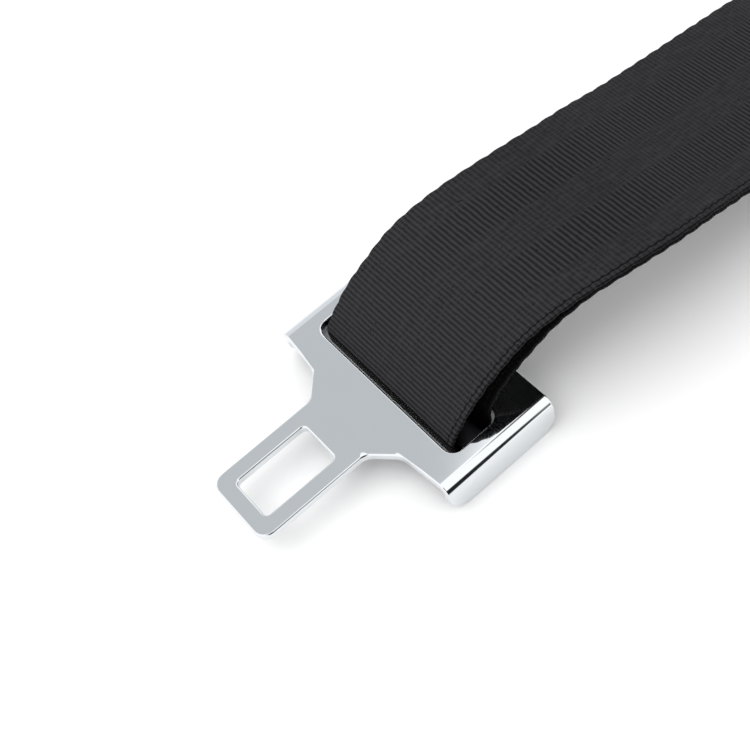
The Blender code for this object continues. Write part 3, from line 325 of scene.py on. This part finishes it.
ROW = [-HALF, -HALF + 0.5, -HALF + 1.2, -16.5, -13, -8, -5, 0, 5, 8, 13, 16.5, HALF - 1.2, HALF - 0.5, HALF]
webbing = start("plane", "woven_strap", size=1 * MM, location=(0, 0, 0))
edit(webbing)
pick(webbing, "verts", lambda at, span: at.x > 0)
bpy.ops.mesh.delete(type="VERT")
bpy.ops.mesh.select_all(action="SELECT")
bpy.ops.mesh.subdivide(number_cuts=len(ROW) - 2)
leave()
first = route[0]
ordered = sorted(webbing.data.vertices, key=lambda v: v.co.y)
for point, y in zip(ordered, ROW):
    point.co = Vector((first.x, y * scallop(0) + drift(first.x), first.y)) * MM
edit(webbing)
bpy.ops.mesh.select_all(action="SELECT")
along = [0.0]
for here, there in zip(route, route[1:]):
    move = Vector((there.x - here.x, drift(there.x) - drift(here.x), there.y - here.y)) * MM
    bpy.ops.mesh.extrude_region_move(TRANSFORM_OT_translate={"value": move})
    along.append(along[-1] + (there - here).length)
    change = scallop(along[-1]) / scallop(along[-2])
    middle = Vector((there.x, drift(there.x), there.y)) * MM
    bpy.ops.transform.resize(value=(1, change, 1), center_override=middle)
leave()
print("webbing sheet:", len(webbing.data.polygons), "faces")

# %% [markdown]
# The weave has to follow the belt round its bends, so the sheet gets its own UV map: U runs across the belt and V
# along it from the slot, both in tenths of a metre. The extrusion went station by station, so each point's number
# gives both.

# %% Webbing: UV map and thickness
MAP_UNIT = 100
places = {}
at_slot = along[len(hidden_end) + len(under) + len(rod_bight)]
for vertex in webbing.data.vertices:
    station = vertex.index // len(ROW)
    places[vertex.index] = (vertex.co.y / MM - drift(route[station].x), along[station] - at_slot)
uv = webbing.data.uv_layers.active or webbing.data.uv_layers.new(name="belt_mm")
for loop in webbing.data.loops:
    u, v = places[loop.vertex_index]
    uv.data[loop.index].uv = (u / MAP_UNIT, v / MAP_UNIT)
modify(webbing, "SOLIDIFY", thickness=WEB_THICK * MM, offset=0)
modify(webbing, "BEVEL", width=0.35 * MM, segments=2, limit_method="ANGLE", angle_limit=math.radians(60))
webbing.data.shade_smooth()
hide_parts("webbing_strap")
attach(webbing, "strap")


# %% [markdown]
# The sewing: a box with a cross in it and one more seam behind it, in thick bonded thread, through the three
# layers. One stitch is a squashed ball, drawn out along X. It is copied along each seam, laid to the strap's
# slope on its upper and lower face.

# %% Sewing
def strap_height(line, x):
    """Height and slope of a line at X."""
    for a, b in zip(line, line[1:]):
        low, high = sorted((a, b), key=lambda p: p.x)
        if low.x <= x <= high.x and high.x > low.x:
            slope = (high.y - low.y) / (high.x - low.x)
            return low.y + (x - low.x) * slope, slope
    raise ValueError(x)


STITCH_SIZE = (2.5, 0.65, 0.5)
STITCH_PITCH = 3.1
SEAM_HALF = 20
SEAM_MARGIN = 4
SEAM_GAP = 2
stitch = start("ico_sphere", "stitch", subdivisions=2, radius=0.5, location=(0, 0, 0))
edit(stitch)
bpy.ops.mesh.select_all(action="SELECT")
bpy.ops.transform.resize(value=Vector(STITCH_SIZE) * MM, center_override=(0, 0, 0))
leave()
seam_front, seam_rear = SEWN_FRONT + SEAM_MARGIN, SEWN_REAR - SEAM_MARGIN
corners = [
    Vector((seam_front, -SEAM_HALF)), Vector((seam_rear, -SEAM_HALF)),
    Vector((seam_rear, SEAM_HALF)), Vector((seam_front, SEAM_HALF)),
]
seams = [(corners[i], corners[(i + 1) % 4]) for i in range(4)]
seams += [(corners[0], corners[2]), (corners[1], corners[3])]
seams.append((Vector((seam_rear + SEAM_GAP, -SEAM_HALF)), Vector((seam_rear + SEAM_GAP, SEAM_HALF))))
copies = []
for line, side in ((upper, 1), (return_end, -1)):
    for begin, end in seams:
        count = round((end - begin).length / STITCH_PITCH)
        for i in range(count):
            at = begin.lerp(end, (i + 0.5) / count)
            height, slope = strap_height(line, at.x)
            made = stitch.copy()
            made.data = stitch.data.copy()
            bpy.context.scene.collection.objects.link(made)
            turn = math.atan2(end.y - begin.y, end.x - begin.x)
            z = height + side * (WEB_THICK / 2 + 0.1)
            place = Matrix.Translation(Vector((at.x, at.y + drift(at.x), z)) * MM)
            made.data.transform(place @ Matrix.Rotation(-math.atan(slope), 4, "Y") @ Matrix.Rotation(turn, 4, "Z"))
            copies.append(made)
bpy.data.objects.remove(stitch)
for other in bpy.context.selected_objects:
    other.select_set(False)
for made in copies:
    made.select_set(True)
bpy.context.view_layer.objects.active = copies[0]
bpy.ops.object.join()
sewing = bpy.context.object
sewing.name = sewing.data.name = "sewn_thread"
sewing.data.shade_smooth()
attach(sewing, "strap")
print("sewing:", len(copies), "stitches")


# %% [markdown]
# The buckle's coil springs. A small circle, the wire's section, is swept round its axis by a Screw modifier and its
# two ends are filled. In the buckle they give way as the button, the latch or the ejector moves. The table gives, for
# each node that a coil takes the place of, the coil's name, its resting and its moving end, its outer diameter, the
# wire's diameter, the number of turns, and the joint with the length that the coil gives way.

# %% Springs
def coil_spring(name, ends, across, wire, turns):
    """A coil spring along X or Z between two points in millimetres."""
    low, high = (Vector(end) for end in ends)
    length = (high - low).length
    pitch = (length - wire) / turns
    made = start(
        "circle", name, vertices=8, radius=wire / 2 * MM, rotation=(math.pi / 2, 0, 0),
        location=((across - wire) / 2 * MM, 0, 0),
    )
    modify(
        made, "SCREW", axis="Z", angle=math.tau, screw_offset=pitch * MM, iterations=turns, steps=18, render_steps=18,
        use_merge_vertices=False,
    )
    edit(made)
    bpy.ops.mesh.select_all(action="SELECT")
    bpy.ops.mesh.fill_holes(sides=8)
    bpy.ops.mesh.normals_make_consistent(inside=False)
    leave()
    turn = Vector((0, 0, 1)).rotation_difference(high - low).to_matrix().to_4x4()
    made.data.transform(Matrix.Translation(low * MM) @ turn @ Matrix.Translation((0, 0, wire / 2 * MM)))
    made.data.shade_smooth()
    return made


SPRINGS = {
    "ejector_spring": (
        "ejector_coil", (-26.44, 0, 5.25), (-5.06, 0, 5.25), 4.0, 0.5, 9, "ejector_slide", 11.4,
    ),
    "latch_spring": (
        "latch_coil", (-16.15, 0, 19.69), (-16.15, 0, 15.71), 4.4, 0.6, 4, "latch_lift", 2.1,
    ),
    "button_spring_left": (
        "left_button_coil", (-6.44, 7, 22.5), (24.94, 7, 22.5), 4.2, 0.6, 10, "button_press", 6,
    ),
    "button_spring_right": (
        "right_button_coil", (-6.44, -7, 22.5), (24.94, -7, 22.5), 4.2, 0.6, 10, "button_press", 6,
    ),
}
coils = []
for node, (name, rest_end, free_end, across, wire, turns, joint, travel) in SPRINGS.items():
    coil = coil_spring(name, (rest_end, free_end), across, wire, turns)
    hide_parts(node)
    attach(coil, "buckle")
    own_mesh(coil)
    coils.append(coil)
print("springs:", [len(coil.data.polygons) for coil in coils], "faces")


# %% [markdown]
# Materials. Colours are written as they look on a screen, and one function turns them to the linear values that
# the shader reads. Another adds a node with its settings and links.

# %% Helpers for materials
def colour(code):
    """The linear colour of a screen colour such as #c8c8ca."""
    parts = [int(code[i : i + 2], 16) / 255 for i in (1, 3, 5)]
    return (*[p / 12.92 if p <= 0.04045 else ((p + 0.055) / 1.055) ** 2.4 for p in parts], 1)


def add(tree, kind, *inputs, **settings):
    """Adds a node. An input is (socket, value), (socket, node, output), or (socket, node) for the node's first
    output. Settings are the node's own."""
    made = tree.nodes.new(kind)
    for key, value in settings.items():
        setattr(made, key, value)
    for socket, source, *output in inputs:
        if isinstance(source, bpy.types.Node):
            tree.links.new(source.outputs[output[0] if output else 0], made.inputs[socket])
        else:
            made.inputs[socket].default_value = source
    return made


def finish(name, base, metallic, roughness, **sockets):
    """A material from values on its shader's own sockets, with its node tree and its shader."""
    material = bpy.data.materials.new(name)
    material.use_nodes = True
    shader = material.node_tree.nodes["Principled BSDF"]
    shader.inputs["Base Color"].default_value = colour(base)
    shader.inputs["Metallic"].default_value = metallic
    shader.inputs["Roughness"].default_value = roughness
    for socket, value in sockets.items():
        shader.inputs[socket].default_value = value
    return material, material.node_tree, shader


def paint(obj, material):
    """Gives a piece one material and no other."""
    obj.data.materials.clear()
    obj.data.materials.append(material)


# %% [markdown]
# Chrome plate: a bright mirror over polished steel. Handling leaves faint cloudy smudges, about a centimetre
# across, that make it a little rougher, so noise drives the roughness between two close values.

# %% Chrome
SMUDGES_PER_METRE = 90
chrome, tree, shader = finish("polished_chrome_plate", "#dcdfe2", 1, 0.1)
where = add(tree, "ShaderNodeTexCoord")
smudge = add(
    tree, "ShaderNodeTexNoise", ("Vector", where, "Object"),
    ("Scale", SMUDGES_PER_METRE), ("Detail", 5), ("Roughness", 0.6),
)
rough = add(
    tree, "ShaderNodeMapRange", ("Value", smudge, "Fac"),
    ("From Min", 0.35), ("From Max", 0.7), ("To Min", 0.05), ("To Max", 0.1),
)
tree.links.new(rough.outputs["Result"], shader.inputs["Roughness"])
for piece in (tongue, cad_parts["buckle_frame"]):
    paint(piece, chrome)
print("chrome:", len(tree.nodes), "nodes")

# %% [markdown]
# The other metals and plastics. Turned steel is bright, with a soft streak of light. Black-oxide steel carries a
# thin dark oxide and looks satin; on the rod its dark colour is also painted shade for the inside of the slot. Zinc
# plate is duller and greyer than chrome, and oiled spring wire is darker
# still. The covers are moulded ABS: black, with a fine grain of about 0.6 mm that breaks the light up to a soft
# sheen. Acetal is smoother and a little waxy: dyed red for the button, left in its own milky white for the ejector.

# %% Plain metals and plastics
steel, _, _ = finish("bright_turned_steel", "#c8c8ca", 1, 0.28)
# painted shade: this dark finish partly stands in for the shade inside the slot, where the rod lies
blackened_and_slot_shade, _, _ = finish("blackened_steel", "#2e2e31", 0.6, 0.42)
zinc, _, _ = finish("zinc_plated_pressing", "#b9bcbc", 1, 0.38)
spring_wire, _, _ = finish("oiled_spring_wire", "#8d8e92", 1, 0.3)
red, _, _ = finish("moulded_red_acetal", "#b3201c", 0, 0.32)
natural, _, _ = finish("moulded_natural_acetal", "#e2e0d8", 0, 0.4)

GRAINS_PER_METRE = 1600
black, tree, shader = finish("moulded_black_abs", "#1b1b1d", 0, 0.46)
where = add(tree, "ShaderNodeTexCoord")
grain = add(
    tree, "ShaderNodeTexNoise", ("Vector", where, "Object"), ("Scale", GRAINS_PER_METRE), ("Detail", 2),
)
grained = add(tree, "ShaderNodeBump", ("Height", grain, "Fac"), ("Strength", 0.35), ("Distance", 0.12 * MM))
tree.links.new(grained.outputs["Normal"], shader.inputs["Normal"])

# %% Who wears what
DRESS = {
    "latch": zinc, "spring_bridge": zinc, "latch_pin": steel, "pin_clip": steel, "bridge_rivet_left": steel,
    "bridge_rivet_right": steel, "press_button": red, "ejector": natural, "upper_cover": black,
    "lower_cover": black, "cover_screw_1": zinc, "cover_screw_2": zinc,
    "cover_screw_3": zinc, "cover_screw_4": zinc,
}
for name, material in DRESS.items():
    paint(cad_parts[name], material)
# painted shade: the rod's dark colour partly stands in for the shade in the slot
paint(rod, blackened_and_slot_shade)
for coil in coils:
    paint(coil, spring_wire)
print("plain finishes on", len(DRESS) + 1 + len(coils), "pieces")

# %% [markdown]
# Polyester webbing is woven from thick filament yarns. The filling yarn makes crosswise ribs, 1.2 mm apart. In two
# lengthwise stripes they stand out, between and beside them the warp yarns float over them and half hide them.
# Near the slot the belt is bent and the ribs open over its whole width. One edge is closed by a braid, which
# leaves a narrow furrow that sways from side to side. All of it follows the belt's own UV map, turned back to
# millimetres across the belt and along it.

# %% Webbing material: places on the belt
RIB = 1.2
YARN = 0.72
BRAID = 2.35
woven, tree, shader = finish("woven_polyester_belt", "#2b2b2e", 0, 0.7, **{"Specular IOR Level": 0.12})
belt = add(tree, "ShaderNodeUVMap", uv_map=webbing.data.uv_layers[0].name)
axes = add(tree, "ShaderNodeSeparateXYZ", ("Vector", belt, "UV"))
across = add(tree, "ShaderNodeMath", (0, axes, "X"), (1, MAP_UNIT), operation="MULTIPLY")
lengthwise = add(tree, "ShaderNodeMath", (0, axes, "Y"), (1, MAP_UNIT), operation="MULTIPLY")
from_middle = add(tree, "ShaderNodeMath", (0, across), operation="ABSOLUTE")
braid_turn = add(tree, "ShaderNodeMath", (0, lengthwise), (1, math.tau / BRAID), operation="MULTIPLY")
braid = add(tree, "ShaderNodeMath", (0, braid_turn), operation="SINE")
braid_sway = add(tree, "ShaderNodeMath", (0, braid), (1, 0.16), operation="MULTIPLY")
braid_line = add(tree, "ShaderNodeMath", (0, braid_sway), (1, across), operation="SUBTRACT")


def cells(wide, long):
    """A random number for each cell of a grid on the belt, with the cell's size in millimetres."""
    size = (wide / MAP_UNIT, long / MAP_UNIT, 1)
    snapped = add(tree, "ShaderNodeVectorMath", (0, belt, "UV"), (1, size), operation="SNAP")
    return add(tree, "ShaderNodeTexWhiteNoise", ("Vector", snapped, "Vector"))


# %% [markdown]
# Where the weave changes. Each ramp goes smoothly from one value to another while a place on the belt, or a
# cell's random number, goes from low to high. A row gives what is measured, low, high, and the ramp's two ends.

# %% Webbing material: ramps
RAMPS = {
    "stripe_begins": (from_middle, 4.2, 5.6, 0, 1),
    "stripe_ends": (from_middle, 14.4, 15.8, 1, 0),
    "near_slot": (lengthwise, 22, 75, 0.55, 0),
    "out_of_slot": (lengthwise, 2.9, 3.8, 0, 1),
    "turned_edge": (from_middle, 23.5, 23.9, 0, 1),
    "furrow_begins": (braid_line, 22.1, 22.4, 0, 1),
    "furrow_ends": (braid_line, 22.5, 22.8, 1, 0),
    "fleck": (cells(0.36, 2.4), 0, 1, -1, 1),
    "pit": (cells(0.36, 0.4), 0.998, 0.9985, 0, 0.8),
}
ramps = {}
for name, (measured, low, high, at_low, at_high) in RAMPS.items():
    ramps[name] = add(
        tree, "ShaderNodeMapRange", ("Value", measured), ("From Min", low), ("From Max", high),
        ("To Min", at_low), ("To Max", at_high), interpolation_type="SMOOTHSTEP",
    )

# %% [markdown]
# The relief adds up what the yarns do: the wavering ribs, highest in the stripes and at the bend, the fine warp
# yarns, the floats outside the stripes, and the hollows along the two edges. The ribs waver about every 3.6 mm,
# which is a noise with 28 blotches to the map's unit.

# %% Webbing material: relief
WAVERS_PER_UNIT = 28
stripe = add(
    tree, "ShaderNodeMath", (0, ramps["stripe_begins"]), (1, ramps["stripe_ends"]), operation="MULTIPLY",
)
waver = add(
    tree, "ShaderNodeTexNoise", ("Vector", belt, "UV"),
    ("Scale", WAVERS_PER_UNIT), ("Detail", 3), ("Roughness", 0.6),
)
wavering = add(tree, "ShaderNodeMath", (0, waver, "Fac"), (1, 0.5), (2, lengthwise), operation="MULTIPLY_ADD")
rib_turn = add(tree, "ShaderNodeMath", (0, wavering), (1, math.tau / RIB), operation="MULTIPLY")
rib_wave = add(tree, "ShaderNodeMath", (0, rib_turn), operation="SINE")
in_stripe = add(tree, "ShaderNodeMath", (0, stripe), (1, 0.7), (2, 0.25), operation="MULTIPLY_ADD")
at_bend = add(tree, "ShaderNodeMath", (0, ramps["near_slot"]), (1, 0.3), operation="ADD")
rib_size = add(tree, "ShaderNodeMath", (0, in_stripe), (1, at_bend), operation="MAXIMUM")
ribs = add(tree, "ShaderNodeMath", (0, rib_wave), (1, rib_size), operation="MULTIPLY")
yarn_turn = add(tree, "ShaderNodeMath", (0, across), (1, math.tau / YARN), operation="MULTIPLY")
yarn = add(tree, "ShaderNodeMath", (0, yarn_turn), operation="SINE")
no_stripe = add(tree, "ShaderNodeMath", (0, 1), (1, stripe), operation="SUBTRACT")
flecks = add(tree, "ShaderNodeMath", (0, ramps["fleck"]), (1, no_stripe), operation="MULTIPLY")
floats = add(tree, "ShaderNodeMath", (0, flecks), (1, 0.22), operation="MULTIPLY")
fine = add(tree, "ShaderNodeMath", (0, yarn), (1, 0.12), (2, floats), operation="MULTIPLY_ADD")
raised = add(tree, "ShaderNodeMath", (0, ribs), (1, fine), operation="ADD")
furrow = add(
    tree, "ShaderNodeMath", (0, ramps["furrow_begins"]), (1, ramps["furrow_ends"]), operation="MULTIPLY",
)
hollows = add(tree, "ShaderNodeMath", (0, furrow), (1, ramps["turned_edge"]), operation="ADD")
relief = add(tree, "ShaderNodeMath", (0, hollows), (1, -1.3), (2, raised), operation="MULTIPLY_ADD")
bump = add(tree, "ShaderNodeBump", ("Height", relief), ("Strength", 0.9), ("Distance", 0.18 * MM))
tree.links.new(bump.outputs["Normal"], shader.inputs["Normal"])

# %% [markdown]
# The colour is painted from the relief: near black in the hollows, as painted shade, and dark grey on the yarns'
# backs, as painted light, with a soft mottle about
# 1.7 mm across. Near the slot it is painted lighter, as the lamp falls more fully on the belt's steep slope there,
# and a few cells are dark pits, where a filament has broken. Below the slot's rim little light reaches the belt, and
# it is given a darker colour there: painted shade.

# %% Webbing material: colour
MOTTLES_PER_UNIT = 60
mottle = add(
    tree, "ShaderNodeTexNoise", ("Vector", belt, "UV"),
    ("Scale", MOTTLES_PER_UNIT), ("Detail", 4), ("Roughness", 0.7),
)
mottled = add(tree, "ShaderNodeMath", (0, mottle, "Fac"), (1, 0.5), operation="MULTIPLY")
# painted shade and light: the colour is darker in the relief's hollows and lighter on its raised yarns
level = add(tree, "ShaderNodeMath", (0, relief), (1, 0.5), (2, mottled), operation="MULTIPLY_ADD")
# painted light: near the slot the belt is painted lighter, where the lamp falls more fully on its slope
level = add(tree, "ShaderNodeMath", (0, ramps["near_slot"]), (1, 0.45), (2, level), operation="MULTIPLY_ADD")
shade = add(tree, "ShaderNodeMapRange", ("Value", level), ("From Min", -0.3), ("From Max", 0.8))
tint = add(
    tree, "ShaderNodeMix", ("Factor", shade), (6, colour("#060607")), (7, colour("#353538")), data_type="RGBA",
)
pitted = add(
    tree, "ShaderNodeMix", ("Factor", ramps["pit"]), (6, tint, 2), (7, colour("#050506")), data_type="RGBA",
)
foot = add(
    tree, "ShaderNodeMix", ("Factor", ramps["out_of_slot"]), (6, colour("#030304")), (7, pitted, 2),
    data_type="RGBA",
)
tree.links.new(foot.outputs[2], shader.inputs["Base Color"])
paint(webbing, woven)
print("webbing material:", len(tree.nodes), "nodes")

# %% [markdown]
# The sewing thread is bonded polyester: filaments glued into one smooth strand, so it is black like the belt and
# a little glossier.

# %% Thread
thread, _, _ = finish("bonded_polyester_thread", "#2a2a2d", 0, 0.55)
paint(sewing, thread)

# %% [markdown]
# The studio: a wide pale floor, one soft lamp high over the tongue's tip, and a world that is brighter overhead
# than near the floor. The camera sees the world as plain white. Chrome only shows what is round it, so for glossy
# rays the world is white with soft patches: grey where the plate's flat faces look, and dark ones for the black
# cards that a photographer stands beside bright metal to draw its edges.

# %% Floor
floor = start("plane", "studio_floor", size=6, location=(0, 0, -0.00005))
floor_paint, tree, shader = finish("matt_white_paper", "#fbfbfb", 0, 0.9, **{"Specular IOR Level": 0.1})
paint(floor, floor_paint)

# %% World: even light
world = bpy.data.worlds.new("even_studio")
bpy.context.scene.world = world
world.use_nodes = True
tree = world.node_tree
even = tree.nodes["Background"]
towards = add(tree, "ShaderNodeTexCoord")
height = add(tree, "ShaderNodeSeparateXYZ", ("Vector", towards, "Generated"))
overhead = add(tree, "ShaderNodeMapRange", ("Value", height, "Z"), ("To Min", 0.45), ("To Max", 1.2))
tree.links.new(overhead.outputs["Result"], even.inputs["Strength"])
even.inputs["Color"].default_value = (1, 1, 1, 1)

# %% [markdown]
# Each patch is round and soft-edged, and is laid over the ones before it. A row gives the direction of its middle,
# the cosines of the angles from there to its outer and its inner edge, and its tone.

# %% World: what the chrome shows
PATCHES = [
    ((0.2, 0.85, 0.45), 0.85, 0.93, (0.93, 0.95, 0.97, 1)),
    ((0.1, 0.531, 0.841), 0.974, 0.986, (0.675, 0.697, 0.706, 1)),
    ((-0.2084, -0.4851, 0.8492), 0.93, 0.975, (0.02, 0.02, 0.022, 1)),
    ((-0.1, -0.93, 0.36), 0.899, 0.927, (0.02, 0.02, 0.022, 1)),
    ((0.36, -0.9, 0.22), 0.9955, 0.9975, (0.02, 0.02, 0.022, 1)),
    ((0.34, 0.1, 0.935), 0.991, 0.996, (0.05, 0.05, 0.055, 1)),
]
beneath = (6, (1.35, 1.35, 1.35, 1))
for direction, outer, inner, tone in PATCHES:
    aim = add(
        tree, "ShaderNodeVectorMath", (0, towards, "Generated"), (1, Vector(direction).normalized()),
        operation="DOT_PRODUCT",
    )
    share = add(
        tree, "ShaderNodeMapRange", ("Value", aim, "Value"), ("From Min", outer), ("From Max", inner),
        interpolation_type="SMOOTHSTEP",
    )
    patched = add(tree, "ShaderNodeMix", ("Factor", share), beneath, (7, tone), data_type="RGBA")
    beneath = (6, patched, 2)
mirrored = add(tree, "ShaderNodeBackground", ("Color", patched, 2), ("Strength", 1))

# %% World: what each ray sees
seen = add(tree, "ShaderNodeBackground", ("Color", (1, 1, 1, 1)), ("Strength", 1))
path = add(tree, "ShaderNodeLightPath")
glossy = add(tree, "ShaderNodeMixShader", ("Fac", path, "Is Glossy Ray"), (1, even), (2, mirrored))
choose = add(tree, "ShaderNodeMixShader", ("Fac", path, "Is Camera Ray"), (1, glossy), (2, seen))
tree.links.new(choose.outputs[0], tree.nodes["World Output"].inputs["Surface"])
print("world:", len(tree.nodes), "nodes")

# %% Lamp
SUBJECT = Vector((-0.26, 0, 0.01))
key_light = bpy.data.lights.new("soft_key", "AREA")
key_light.size = 1
key_light.energy = 5.8
key = bpy.data.objects.new("soft_key", key_light)
key.location = (-0.61, 0.12, 1.16)
key.rotation_euler = (SUBJECT - key.location).to_track_quat("-Z", "Y").to_euler()
key.visible_glossy = False
bpy.context.scene.collection.objects.link(key)
print(f"lamp: {(SUBJECT - key.location).length:.2f} m from the tongue")

# %% [markdown]
# The camera was worked out from the photo: the tab's 21.5 mm width and the belt's 48 mm fix its distance, and the
# plate's straight edges fix its direction. Its three axes are written as the columns of a matrix.

# %% Camera
camera = bpy.data.objects.new("camera", bpy.data.cameras.new("camera"))
bpy.context.scene.collection.objects.link(camera)
RIGHT = Vector((0.750766, -0.635849, -0.179014))
UP = Vector((0.626837, 0.600276, 0.496734))
BACK = RIGHT.cross(UP)
eye = Vector((TIP - 14.089, -139.858, PLATE + 252.434)) * MM
camera.matrix_world = Matrix.Translation(eye) @ Matrix((RIGHT, UP, BACK)).transposed().to_4x4()
camera.data.sensor_width = 36
camera.data.lens = 57.6
camera.data.clip_start = 0.01
bpy.context.scene.camera = camera
bpy.context.scene.view_settings.view_transform = "Standard"
